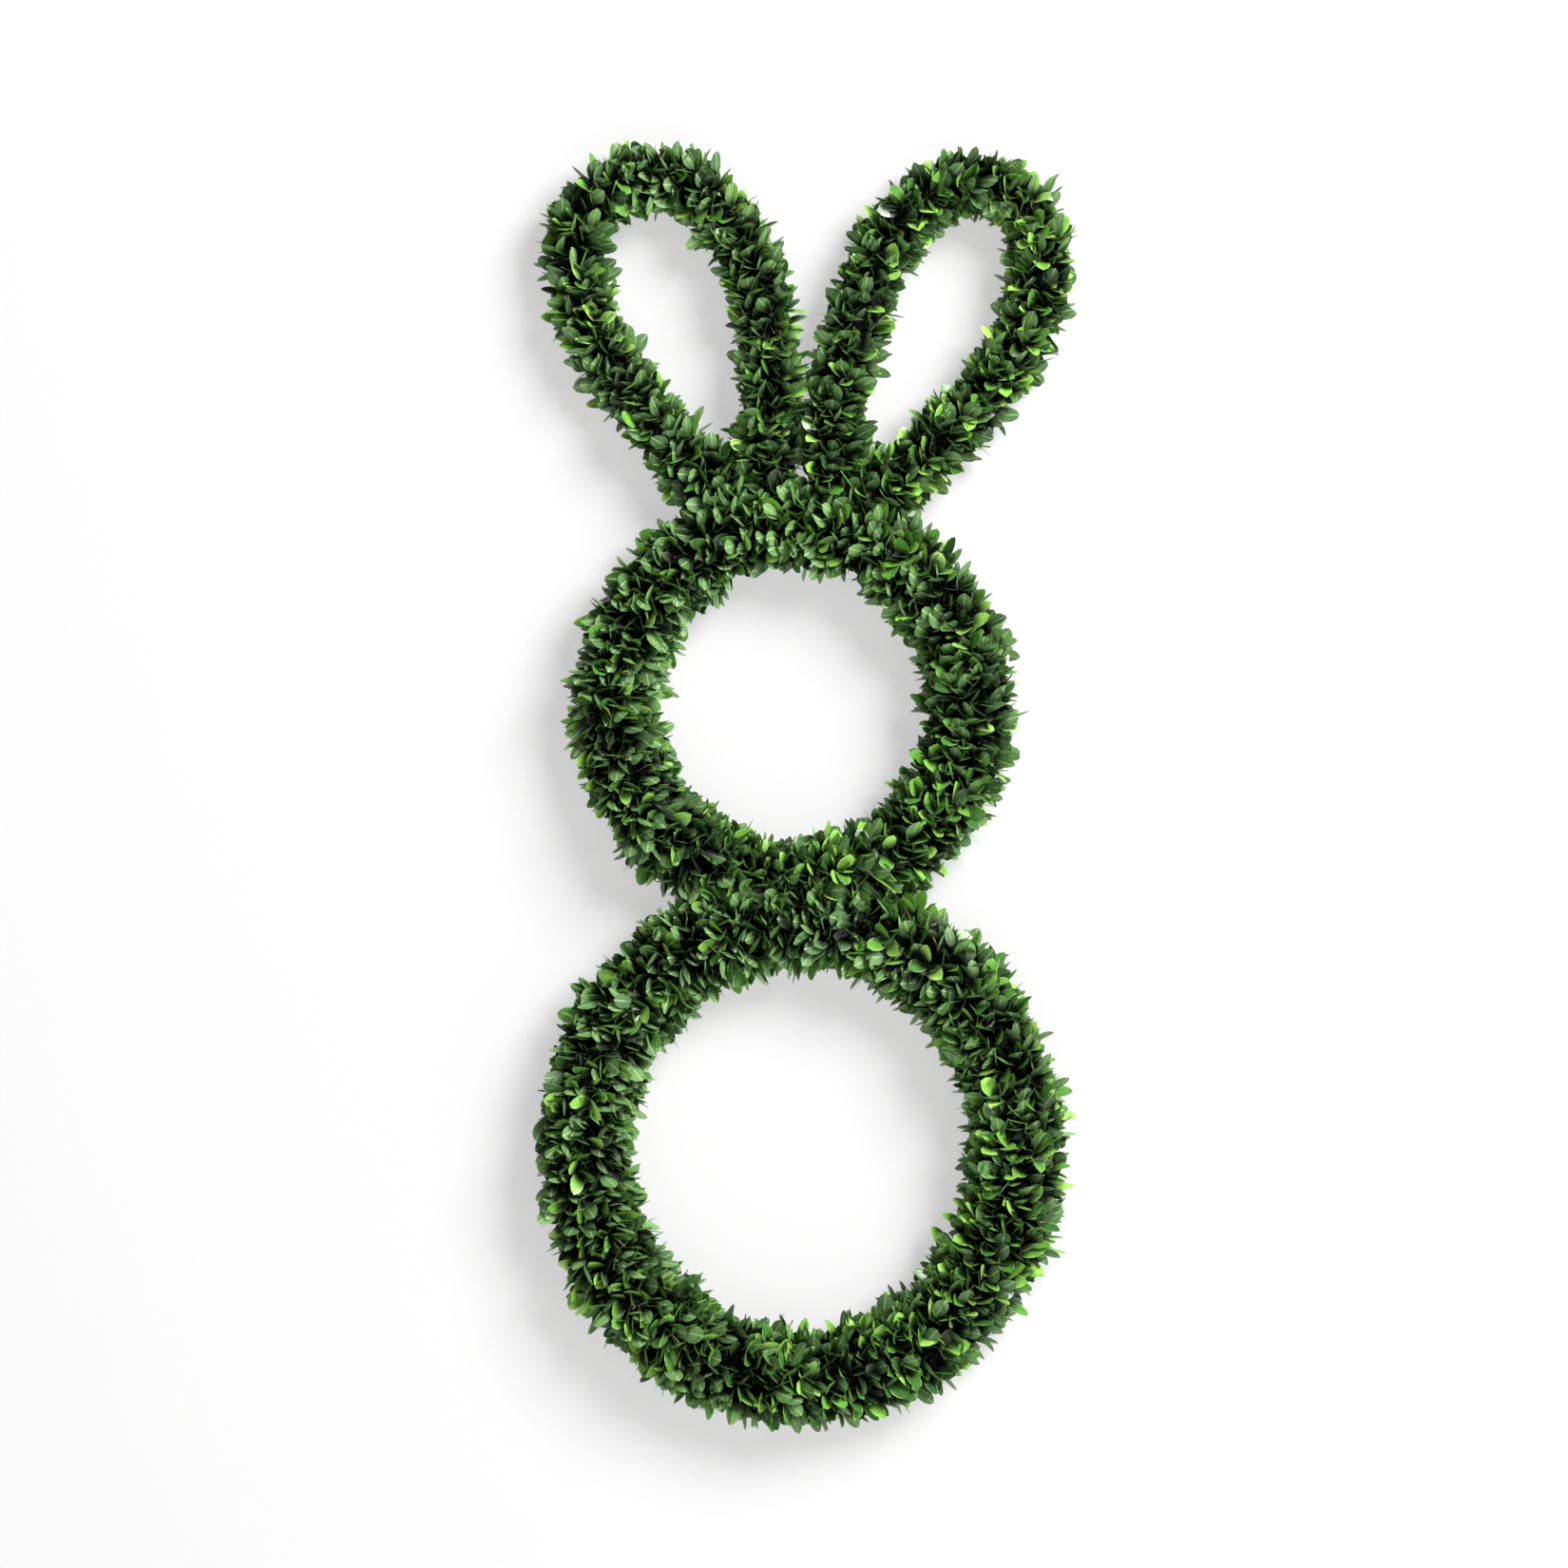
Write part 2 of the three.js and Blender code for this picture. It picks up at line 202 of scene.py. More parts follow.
# Many leaves at once: root + forward * length * along + side * half width * across * outline
# + up * (half width * cup * |across| * outline - length * bend * along^2), where outline is
# sin(pi * along^lean)^fullness; the point under the middle is lower by thickness * outline.
def leaves(plan, root, forward, up, size, bend, cup, tone):
    along, across = plan["along"], plan["across"]
    side = np.cross(up, forward)
    outline = np.sin(np.pi * along ** leafForm["lean"]).clip(0) ** leafForm["fullness"]
    length, halfWidth = size[:, :1], size[:, 1:]
    run = length * along
    spread = halfWidth * across * outline
    rise = halfWidth * cup[:, None] * np.abs(across) * outline - length * bend[:, None] * along**2
    rise = rise - plan["under"] * leafForm["thickness"] * outline
    points = root[:, None] + forward[:, None] * run[..., None] + side[:, None] * spread[..., None]
    points = points + up[:, None] * rise[..., None]
    shape = (len(root), along.size)
    return {
        "points": points,
        "tone": np.repeat(tone[:, None], along.size, axis=1),
        "uv": np.broadcast_to(np.stack([(across + 1) / 2, along], axis=-1), (*shape, 2)),
        "rim": np.broadcast_to(plan["rim"], shape),
        "plan": plan,
        "finish": np.where(plan["lower"], lowerFinish, upperFinish),
    }


# Tapered stems, with few sides and closed ends

stemForm = {
    "sides": 5,
    "rootRadius": 0.9 * mm,
    "tipRadius": 0.55 * mm,
    "reference": (0.31, 0.77, 0.55),  # a direction that no stem has
}


# Two rings of points: walls between them and a cap at each end.
def stemTemplate():
    sides = stemForm["sides"]
    ring = np.arange(sides)
    after = (ring + 1) % sides
    walls = np.stack([ring, after, after + sides, ring + sides], axis=-1).ravel()
    return {
        "corners": np.concatenate([walls, ring[::-1], ring + sides]),
        "sizes": np.concatenate([np.full(sides, 4), [sides, sides]]),
    }


stemPlan = stemTemplate()


# Many stems at once: end + radius * (first * cos(angle) + second * sin(angle)), with first and
# second square to the stem.
def stems(root, tip, tone):
    sides = stemForm["sides"]
    ahead = unit(tip - root)
    first = unit(np.cross(ahead, stemForm["reference"]))
    second = np.cross(ahead, first)
    angle = 2 * np.pi * np.arange(sides) / sides
    ring = first[:, None] * np.cos(angle)[:, None] + second[:, None] * np.sin(angle)[:, None]
    rootRing = root[:, None] + stemForm["rootRadius"] * ring
    tipRing = tip[:, None] + stemForm["tipRadius"] * ring
    uv = np.stack([np.tile(angle / 2 / np.pi, 2), np.repeat([0.0, 1.0], sides)], axis=-1)
    shape = (len(root), 2 * sides)
    return {
        "points": np.concatenate([rootRing, tipRing], axis=1),
        "tone": np.repeat(tone[:, None], 2 * sides, axis=1),
        "uv": np.broadcast_to(uv, (*shape, 2)),
        "rim": np.zeros(shape, bool),
        "plan": stemPlan,
        "finish": np.full(len(stemPlan["sizes"]), twigFinish),
    }


# Cores: the dense middle of each bunch, a closed tube with a knobbly surface, near black as painted shade

coreForm = {
    "alongStep": 7 * mm,
    "around": 14,
    "fill": 0.66,  # share of the solid's own core
    "knobs": 2.5 * mm,
    "overlap": 2.5 * mm,  # past each end of the bunch
    "tone": 0.5,
}


# Rings of points round the line, each moved in by up to knobs.
def coreTube(line, start, end, size):
    overlap = np.sign(end - start) * coreForm["overlap"] / line["length"]
    start, end = start - overlap, end + overlap
    steps = max(3, int(abs(end - start) * line["length"] / coreForm["alongStep"]))
    around = coreForm["around"]
    share = np.linspace(start, end, steps + 1)[:, None] + np.zeros(around)
    turn = 2 * np.pi * np.arange(around) / around + np.zeros((steps + 1, 1))
    filled = tuple(coreForm["fill"] * value for value in size)
    place, _, outward = roundLine(line, share, turn, filled)
    place = place + outward * (random.uniform(-1, 0, share.shape) * coreForm["knobs"])[..., None]
    grid = np.arange(place.size // 3).reshape(steps + 1, around)
    after = np.roll(grid, -1, axis=1)
    walls = np.stack([grid[:-1], grid[1:], after[1:], after[:-1]], axis=-1).reshape(-1)
    if end < start:
        walls = walls.reshape(-1, 4)[:, ::-1].ravel()
    caps = [grid[0], grid[-1][::-1]] if end > start else [grid[0][::-1], grid[-1]]
    sizes = np.concatenate([np.full(steps * around, 4), [around, around]])
    count = grid.size
    return {
        "points": place.reshape(1, count, 3),
        "tone": np.full((1, count), coreForm["tone"]),
        "depth": np.full((1, count), size[0]),
        "uv": np.zeros((1, count, 2)),
        "rim": np.zeros((1, count), bool),
        "plan": {"corners": np.concatenate([walls, *caps]), "sizes": sizes},
        "finish": np.full(len(sizes), coreFinish),
    }


# Where no leaves stand: the room behind the head for a wall hook, and the bare back of the head
# ring on which the hanging loop is tied.

bareRooms = {
    "front": -19.5 * mm,  # both reach from here to the wall
    "hook": {"halfWidth": 12 * mm, "low": -34 * mm, "high": 10 * mm},
    "back": {"halfWidth": 50.5 * mm, "low": -68.5 * mm, "high": -9 * mm},
}


# Whether a point is behind the front of the rooms and within one room's half width and heights.
def inBareRoom(points):
    x, y, z = np.moveaxis(points, -1, 0)
    inside = np.zeros(x.shape, bool)
    for room in (bareRooms["hook"], bareRooms["back"]):
        inside |= (np.abs(x) < room["halfWidth"]) & (z > room["low"]) & (z < room["high"])
    return inside & (y > bareRooms["front"])


# Sprigs. They stand on an uneven grid round the line and lean from its direction outwards; the
# leaves of a sprig stand in crossed pairs behind one at its tip.

sprig = {
    "alongCell": (0.05, 0.95),  # where a sprig may stand in its cell of the grid
    "roundCell": (-0.4, 0.4),
    "lean": 40 * degree,
    "leanSpread": 14 * degree,
    "swerve": 20 * degree,  # to either side of the line's direction
    "splay": (14 * degree, 66 * degree),  # of the leaf at the tip and of the last pair
    "splaySpread": 10 * degree,
    "pairSpacing": 2.8 * mm,
    "turnSpread": 20 * degree,  # of a leaf round its stem
    "roll": 12 * degree,
    "length": (16 * mm, 21 * mm),
    "aspect": (0.52, 0.66),  # width to length
    "bend": (-0.02, 0.22),
    "cup": (-0.08, 0.3),
    "depths": (0.7, 1.3),  # of a sprig's tip, as a share of the layer's
    "toneShares": (0.3, 0.7),  # of the sprig and of the leaf itself
    "stemRun": 12 * mm,  # along the line, from a stem's root to its end
    "stemDepth": 0.45,  # of the root, as a share of the end's distance from the line
    "bareEvery": 16,  # sprigs, one of them with a twig that stands out bare
    "bareLength": 15 * mm,
    "bulge": (0.05, 0.035),  # of the envelope, by broad and by narrow waves
    "bulgeWaves": (14 * mm, 6 * mm),
    "outer": {
        "spacing": 11.4 * mm,
        "leaves": 7,
        "sunk": 13.7 * mm,  # from the envelope to where the leaf at the tip starts
        "reach": 1.0,
        "plan": leafTemplate((0.1, 0.28, 0.5, 0.72, 0.89)),  # stations as shares of the length
    },
    "inner": {
        "spacing": 12 * mm,
        "leaves": 5,
        "sunk": 12 * mm,
        "reach": 0.76,
        "plan": leafTemplate((0.18, 0.5, 0.82)),
    },
}


# Unit vectors: first * cos(angle) + second * sin(angle).
def turned(first, second, angle):
    return first * np.cos(angle)[:, None] + second * np.sin(angle)[:, None]


# One layer of a bunch. Stem = ahead * cos(lean) + outward * sin(lean); leaf = stem * cos(splay) +
# a way square to it * sin(splay), with its upper face towards the stem's tip.
def bunchLeaves(line, start, end, envelope, layer, low=None):
    reach = [layer["reach"] * value for value in envelope]
    length = abs(end - start) * line["length"]
    perimeter = 2 * np.pi * (reach[0] - layer["sunk"])
    rows = max(1, round(length / layer["spacing"]))
    columns = max(3, round(perimeter / layer["spacing"]))
    count = rows * columns
    row, column = (grid.ravel() for grid in np.mgrid[0:rows, 0:columns])
    share = start + (end - start) * (row + random.uniform(*sprig["alongCell"], count)) / rows
    turn = 2 * np.pi * (column + row / 2 + random.uniform(*sprig["roundCell"], count)) / columns
    sunk = layer["sunk"] * random.uniform(*sprig["depths"], count)
    broad, narrow = sprig["bulge"]
    broadWave, narrowWave = sprig["bulgeWaves"]
    run = share * line["length"]
    bulge = broad * np.sin(run / broadWave + turn) + narrow * np.sin(run / narrowWave - 2 * turn)
    scale = 1 - sunk / reach[0] + bulge
    size = [value * scale for value in reach]
    stemEnd, ahead, outward = roundLine(line, share, turn, size)
    ahead = ahead * np.sign(end - start)
    flat = turned(ahead, np.cross(outward, ahead), random.normal(0, sprig["swerve"], count))
    lean = random.normal(sprig["lean"], sprig["leanSpread"], count)
    stemWay = turned(flat, outward, lean)
    stemSide = turned(outward, -flat, lean)

    each = layer["leaves"]
    total = count * each
    ofEach = [np.repeat(values, each, axis=0) for values in (stemWay, stemSide, stemEnd, share)]
    way, side, tip, leafShare = ofEach
    leafIndex = np.tile(np.arange(each), count)
    pair = (leafIndex + 1) // 2
    around = np.pi * leafIndex + np.pi / 2 * pair + random.normal(0, sprig["turnSpread"], total)
    tipSplay, lastSplay = sprig["splay"]
    splay = tipSplay + (lastSplay - tipSplay) * pair / (each // 2)
    splay = splay + random.normal(0, sprig["splaySpread"], total)
    beside = turned(side, np.cross(way, side), around)
    forward = turned(way, beside, splay)
    up = turned(-beside, way, splay)
    up = turned(up, np.cross(forward, up), random.normal(0, sprig["roll"], total))
    root = tip - way * (sprig["pairSpacing"] * pair)[:, None]
    leafLength = random.uniform(*sprig["length"], total)
    halfWidth = leafLength * random.uniform(*sprig["aspect"], total) / 2
    sprigShare, leafOwn = sprig["toneShares"]
    sprigTone = np.repeat(random.uniform(0, 1, count), each)
    tone = sprigTone * sprigShare + random.uniform(0, 1, total) * leafOwn
    bend = random.uniform(*sprig["bend"], total)
    cup = random.uniform(*sprig["cup"], total)
    bladeSize = np.stack([leafLength, halfWidth], axis=-1)
    blades = leaves(layer["plan"], root, forward, up, bladeSize, bend, cup, tone)
    blades["depth"] = depthIn(line, leafShare, blades["points"], envelope)

    inner = [value * sprig["stemDepth"] for value in size]
    rootShare = share - np.sign(end - start) * sprig["stemRun"] / line["length"]
    stemRoot, _, _ = roundLine(line, rootShare, turn, inner)
    bare = np.arange(count)[:, None] % sprig["bareEvery"] == 0
    twigEnd = stemEnd + bare * stemWay * sprig["bareLength"]
    twigs = stems(stemRoot, twigEnd, random.uniform(0, 1, count))
    twigs["depth"] = depthIn(line, share, twigs["points"], envelope)
    return keepInside(blades, low), keepInside(twigs, low)


# How deep a point lies under the envelope: (1 - its distance from the line, as a share of the
# envelope's own size in each direction) * the envelope's radius.
def depthIn(line, share, points, envelope):
    centre, _, away = lineAt(line, share)
    offset = points - centre[:, None]
    radial = (offset * away[:, None]).sum(axis=-1) / envelope[0]
    front = offset @ frontward
    front = front / np.where(front > 0, envelope[1], envelope[2])
    return (1 - np.hypot(radial, front)) * envelope[0]


# Drops what would leave the CAD model's box, stand in a bare room or lie below a height.
def keepInside(part, low):
    points = part["points"]
    lowest, highest = (np.array(corner) for corner in cadBox)
    inside = ((points > lowest) & (points < highest)).all(axis=(1, 2))
    inside &= ~inBareRoom(points).any(axis=1)
    if low is not None:
        inside &= points[:, :, 2].min(axis=1) > low
    kept = {key: part[key][inside] for key in ("points", "tone", "depth", "uv", "rim")}
    return {**part, **kept}


# One mesh from several parts, each a number of equal shapes.
def meshOf(name, parts, materials):
    points, corners, sizes, finish = [], [], [], []
    offset = 0
    for part in parts:
        number, each = part["points"].shape[:2]
        starts = offset + each * np.arange(number)[:, None]
        points.append(part["points"].reshape(-1, 3))
        corners.append((starts + part["plan"]["corners"]).ravel())
        sizes.append(np.tile(part["plan"]["sizes"], number))
        finish.append(np.tile(part["finish"], number))
        offset += number * each
    points, corners, sizes, finish = map(np.concatenate, (points, corners, sizes, finish))
    tone, depth, rim = (
        np.concatenate([part[key].ravel() for part in parts]) for key in ("tone", "depth", "rim")
    )
    uv = np.concatenate([part["uv"].reshape(-1, 2) for part in parts])

    mesh = bpy.data.meshes.new(name)
    mesh.vertices.add(len(points))
    mesh.vertices.foreach_set("co", points.astype(np.float32).ravel())
    mesh.loops.add(len(corners))
    mesh.loops.foreach_set("vertex_index", corners.astype(np.int32))
    mesh.polygons.add(len(sizes))
    mesh.polygons.foreach_set("loop_start", (np.cumsum(sizes) - sizes).astype(np.int32))
    mesh.update(calc_edges=True)
    for material in materials:
        mesh.materials.append(material)
    mesh.polygons.foreach_set("material_index", finish.astype(np.int32))
    mesh.shade_smooth()
    mesh.uv_layers.new(name="leafMap").data.foreach_set("uv", uv[corners].astype(np.float32).ravel())
    for key, values in (("tone", tone), ("depth", depth)):
        mesh.attributes.new(key, "FLOAT", "POINT").data.foreach_set("value", values.astype(np.float32))
    ends = np.empty(2 * len(mesh.edges), np.int32)
    mesh.edges.foreach_get("vertices", ends)
    sharp = rim[ends].reshape(-1, 2).all(axis=1)
    mesh.attributes.new("sharp_edge", "BOOLEAN", "EDGE").data.foreach_set("value", sharp)
    mesh.validate()
    piece = bpy.data.objects.new(name, mesh)
    bpy.context.collection.objects.link(piece)
    return piece


# Materials

palette = {
    "shade": [  # of the leaves, by their tone
        (0.0, (0.010, 0.044, 0.012)),
        (0.25, (0.034, 0.128, 0.020)),
        (0.5, (0.104, 0.292, 0.032)),
        (0.75, (0.225, 0.480, 0.062)),
        (1.0, (0.370, 0.630, 0.120)),
    ],
    "paintedShadeFrom": 12.5 * mm,  # under the envelope, where the painted shade on the leaves is darkest
    "paintedShadeTo": 2 * mm,  # where the painted shade ends and the leaves are lightest
    "paintedShadeFactor": 0.012,  # factor of the darkest painted shade
    "underside": [(0.0, (0.036, 0.095, 0.028)), (1.0, (0.130, 0.260, 0.075))],
    "twig": [(0.0, (0.060, 0.040, 0.022)), (1.0, (0.120, 0.150, 0.050))],
    # painted shade: the near black of the cores deep in each bunch
    "core": [(0.0, (0.003, 0.008, 0.002)), (1.0, (0.010, 0.020, 0.006))],
    "rim": (0.46, 0.62, 0.28),
    "midrib": (0.22, 0.38, 0.08),
    "greenWire": (0.02, 0.07, 0.02),
    "zinc": (0.55, 0.56, 0.55),
}


# Short names for adding nodes to a material or a group.
class Nodes:
    def __init__(self, tree):
        self.tree = tree

    def add(self, kind, inputs=None, **settings):
        node = self.tree.nodes.new(kind)
        for key, value in settings.items():
            setattr(node, key, value)
        for key, value in (inputs or {}).items():
            if isinstance(value, bpy.types.NodeSocket):
                self.tree.links.new(value, node.inputs[key])
            else:
                node.inputs[key].default_value = value
        return node

    def math(self, operation, a, b=0.0):
        return self.add("ShaderNodeMath", {0: a, 1: b}, operation=operation).outputs[0]

    def ramp(self, value, stops):
        node = self.add("ShaderNodeValToRGB", {"Fac": value})
        for i, (place, color) in enumerate(stops):
            stop = node.color_ramp.elements[i] if i < 2 else node.color_ramp.elements.new(place)
            stop.position, stop.color = place, (*color, 1)
        return node.outputs["Color"]

    # Inputs 6 and 7 and output 2 are the colours of this node.
    def mix(self, share, a, b, blend="MIX"):
        node = self.add("ShaderNodeMix", {"Factor": share}, data_type="RGBA", blend_type=blend)
        for socket, value in ((6, a), (7, b)):
            if isinstance(value, bpy.types.NodeSocket):
                self.tree.links.new(value, node.inputs[socket])
            else:
                node.inputs[socket].default_value = (*value, 1)
        return node.outputs[2]

    # A value that goes smoothly from toLow at low to toHigh at high.
    def between(self, value, low, high, toLow=0.0, toHigh=1.0):
        inputs = {"Value": value, "From Min": low, "From Max": high, "To Min": toLow, "To Max": toHigh}
        node = self.add("ShaderNodeMapRange", inputs, interpolation_type="SMOOTHSTEP")
        return node.outputs["Result"]

    def attribute(self, name):
        return self.add("ShaderNodeAttribute", attribute_name=name).outputs["Fac"]

    def bump(self, surface, height, strength, distance):
        inputs = {"Height": height, "Strength": strength, "Distance": distance}
        normal = self.add("ShaderNodeBump", inputs).outputs["Normal"]
        self.tree.links.new(normal, surface.inputs["Normal"])


# A material with one shader, and no more nodes than that shader and its output.
def newMaterial(name):
    material = bpy.data.materials.new(name)
    material.use_nodes = True
    material.node_tree.nodes.clear()
    nodes = Nodes(material.node_tree)
    surface = nodes.add("ShaderNodeBsdfPrincipled")
    output = nodes.add("ShaderNodeOutputMaterial")
    material.node_tree.links.new(surface.outputs["BSDF"], output.inputs["Surface"])
    return material, nodes, surface


# Uneven colour of living and weathered things, from two sizes of noise: factor = 1 + contrast *
# amount * (broad + fineShare * fine - middle), for the colour, and the fine noise as a height.

mottleForm = {
    "scale": 200.0,
    "amount": 0.2,
    "fineScale": 7.0,  # times the scale
    "detail": (3.0, 2.0),  # of the broad and the fine noise
    "fineShare": 0.5,
    "middle": 0.75,
    "contrast": 4.0,
}


def mottleGroup():
    form = mottleForm
    group = bpy.data.node_groups.new("mottle", "ShaderNodeTree")
    for name, start in (("Scale", form["scale"]), ("Amount", form["amount"])):
        socket = group.interface.new_socket(name, in_out="INPUT", socket_type="NodeSocketFloat")
        socket.default_value = start
    for name in ("Factor", "Height"):
        group.interface.new_socket(name, in_out="OUTPUT", socket_type="NodeSocketFloat")
    nodes = Nodes(group)
    given = nodes.add("NodeGroupInput").outputs
    place = nodes.add("ShaderNodeTexCoord").outputs["Object"]
    broadDetail, fineDetail = form["detail"]
    inputs = {"Vector": place, "Scale": given["Scale"], "Detail": broadDetail}
    broad = nodes.add("ShaderNodeTexNoise", inputs)
    fineScale = nodes.math("MULTIPLY", given["Scale"], form["fineScale"])
    inputs = {"Vector": place, "Scale": fineScale, "Detail": fineDetail}
    fine = nodes.add("ShaderNodeTexNoise", inputs)
    fineShare = nodes.math("MULTIPLY", fine.outputs["Fac"], form["fineShare"])
    both = nodes.math("ADD", broad.outputs["Fac"], fineShare)
    spread = nodes.math("MULTIPLY", nodes.math("SUBTRACT", both, form["middle"]), given["Amount"])
    factor = nodes.math("ADD", nodes.math("MULTIPLY", spread, form["contrast"]), 1.0)
    end = nodes.add("NodeGroupOutput")
    group.links.new(factor, end.inputs["Factor"])
    group.links.new(fine.outputs["Fac"], end.inputs["Height"])
    return group


mottle = mottleGroup()


# The group in a material, with its two named inputs set.
def addMottle(nodes, scale, amount):
    node = nodes.add("ShaderNodeGroup", node_tree=mottle)
    node.inputs["Scale"].default_value = scale
    node.inputs["Amount"].default_value = amount
    return node.outputs


# A colour times a factor.
def shaded(nodes, color, factor):
    channels = {"Red": factor, "Green": factor, "Blue": factor}
    grey = nodes.add("ShaderNodeCombineColor", channels).outputs["Color"]
    return nodes.mix(1.0, color, grey, "MULTIPLY")


# Leaves. A width or a wave is a band of values, from where it starts to where it is full.

leafLook = {
    "mottle": (160, 0.3),  # scale and amount
    "underMottle": (160, 0.2),
    "veins": 8,  # to each side
    "veinWay": 0.22,  # share of the length by which a side vein runs forwards
    "veinWave": (0.55, 1.0),
    "veinShare": 0.05,
    "midribWidth": (0.1, 0.02),  # of half the leaf's width
    "midribShare": 0.22,
    "underMidribWidth": (0.14, 0.04),
    "underMidribShare": 0.6,
    "rimWidth": (0.86, 0.98),
    "rimShare": 0.7,
    "rootPaintedShade": 0.45,  # factor of the painted shade at the leaf's root
    "rootLength": 0.5,  # share of the length over which it fades
    "roughness": 0.3,
    "roughnessSpread": 0.25,
    "underRoughness": 0.55,
    "coat": 0.5,
    "coatRoughness": 0.2,
    "specular": 0.3,
    "grainHeight": 0.5,
    "veinHeight": -0.4,
    "grooveWidth": (0.12, 0.0),
    "bump": (0.35, 0.3 * mm),  # strength and distance
    "underBump": (0.3, 0.3 * mm),
}


# Where a point lies on its leaf: distance from the midrib, 0 to 1, and share of the length.
def onLeaf(nodes):
    place = nodes.add("ShaderNodeUVMap", uv_map="leafMap").outputs["UV"]
    split = nodes.add("ShaderNodeSeparateXYZ", {"Vector": place})
    doubled = nodes.math("MULTIPLY", nodes.math("SUBTRACT", split.outputs["X"], 0.5), 2.0)
    return nodes.math("ABSOLUTE", doubled), split.outputs["Y"]


# Side veins leave the midrib forwards: a wave over the length minus the distance from the midrib.
def sideVeins(nodes, fromMiddle, along):
    phase = nodes.math("SUBTRACT", along, nodes.math("MULTIPLY", fromMiddle, leafLook["veinWay"]))
    wave = nodes.math("SINE", nodes.math("MULTIPLY", phase, 2 * math.pi * leafLook["veins"]))
    return nodes.between(wave, *leafLook["veinWave"])


# A colour where a value lies within a band, over the colour that is there.
def over(nodes, color, value, band, share, added):
    factor = nodes.math("MULTIPLY", nodes.between(value, *band), share)
    return nodes.mix(factor, color, added)


# Painted shade on the leaves deep in a bunch: a factor that falls from 1 with the depth.
def paintedShadeInBunch(nodes):
    depth = nodes.attribute("depth")
    return nodes.between(depth, palette["paintedShadeTo"], palette["paintedShadeFrom"], 1.0, palette["paintedShadeFactor"])


# Colour: tone * mottle, with veins, midrib and rim over it, times a painted shade at the leaf's root
# and a painted shade deep in the bunch. Height: mottle - side veins - the groove of the midrib.
def glossyLeaf():
    look = leafLook
    material, nodes, surface = newMaterial("boxwood_leaf")
    fromMiddle, along = onLeaf(nodes)
    mottled = addMottle(nodes, *look["mottle"])
    veins = sideVeins(nodes, fromMiddle, along)
    color = shaded(nodes, nodes.ramp(nodes.attribute("tone"), palette["shade"]), mottled["Factor"])
    color = nodes.mix(nodes.math("MULTIPLY", veins, look["veinShare"]), color, palette["midrib"])
    color = over(nodes, color, fromMiddle, look["midribWidth"], look["midribShare"], palette["midrib"])
    color = over(nodes, color, fromMiddle, look["rimWidth"], look["rimShare"], palette["rim"])
    # painted shade: darker towards the leaf's root
    color = shaded(nodes, color, nodes.between(along, 0.0, look["rootLength"], look["rootPaintedShade"], 1.0))
    # painted shade: darker deep in the bunch
    color = shaded(nodes, color, paintedShadeInBunch(nodes))
    nodes.tree.links.new(color, surface.inputs["Base Color"])
    rough = nodes.math("MULTIPLY", mottled["Height"], look["roughnessSpread"])
    rough = nodes.math("ADD", rough, look["roughness"])
    nodes.tree.links.new(rough, surface.inputs["Roughness"])
    surface.inputs["Coat Weight"].default_value = look["coat"]
    surface.inputs["Coat Roughness"].default_value = look["coatRoughness"]
    surface.inputs["Specular IOR Level"].default_value = look["specular"]
    grain = nodes.math("MULTIPLY", mottled["Height"], look["grainHeight"])
    height = nodes.math("ADD", grain, nodes.math("MULTIPLY", veins, look["veinHeight"]))
    height = nodes.math("SUBTRACT", height, nodes.between(fromMiddle, *look["grooveWidth"]))
    nodes.bump(surface, height, *look["bump"])
    return material


# Paler and matt: tone * mottle, with a pale midrib over it, times the painted shade deep in the bunch.
def leafUnderside():
    look = leafLook
    material, nodes, surface = newMaterial("boxwood_leaf_underside")
    fromMiddle, along = onLeaf(nodes)
    mottled = addMottle(nodes, *look["underMottle"])
    color = shaded(nodes, nodes.ramp(nodes.attribute("tone"), palette["underside"]), mottled["Factor"])
    width, share = look["underMidribWidth"], look["underMidribShare"]
    color = over(nodes, color, fromMiddle, width, share, palette["rim"])
    # painted shade: darker deep in the bunch
    color = shaded(nodes, color, paintedShadeInBunch(nodes))
    nodes.tree.links.new(color, surface.inputs["Base Color"])
    surface.inputs["Roughness"].default_value = look["underRoughness"]
    nodes.bump(surface, sideVeins(nodes, fromMiddle, along), *look["underBump"])
    return material


# Bark, and the stems that fill a bunch, near black as painted shade: tone * mottle, dull and rough.

barkLook = {"mottle": 0.6, "specular": 0.05, "bump": (0.8, 0.5 * mm)}


def barkFinish(name, colors, roughness, scale):
    material, nodes, surface = newMaterial(name)
    mottled = addMottle(nodes, scale, barkLook["mottle"])
    color = shaded(nodes, nodes.ramp(nodes.attribute("tone"), colors), mottled["Factor"])
    nodes.tree.links.new(color, surface.inputs["Base Color"])
    surface.inputs["Roughness"].default_value = roughness
    surface.inputs["Specular IOR Level"].default_value = barkLook["specular"]
    nodes.bump(surface, mottled["Height"], *barkLook["bump"])
    return material


# Wire: colour * mottle, with a roughness that follows the fine noise.

wireLook = {"mottle": (90, 0.25), "roughness": 0.3, "roughnessSpread": 0.3, "bump": (0.3, 0.1 * mm)}


def wireFinish(name, color, metallic):
    material, nodes, surface = newMaterial(name)
    mottled = addMottle(nodes, *wireLook["mottle"])
    nodes.tree.links.new(shaded(nodes, color, mottled["Factor"]), surface.inputs["Base Color"])
    rough = nodes.math("MULTIPLY", mottled["Height"], wireLook["roughnessSpread"])
    rough = nodes.math("ADD", rough, wireLook["roughness"])
    nodes.tree.links.new(rough, surface.inputs["Roughness"])
    surface.inputs["Metallic"].default_value = metallic
    nodes.bump(surface, mottled["Height"], *wireLook["bump"])
    return material


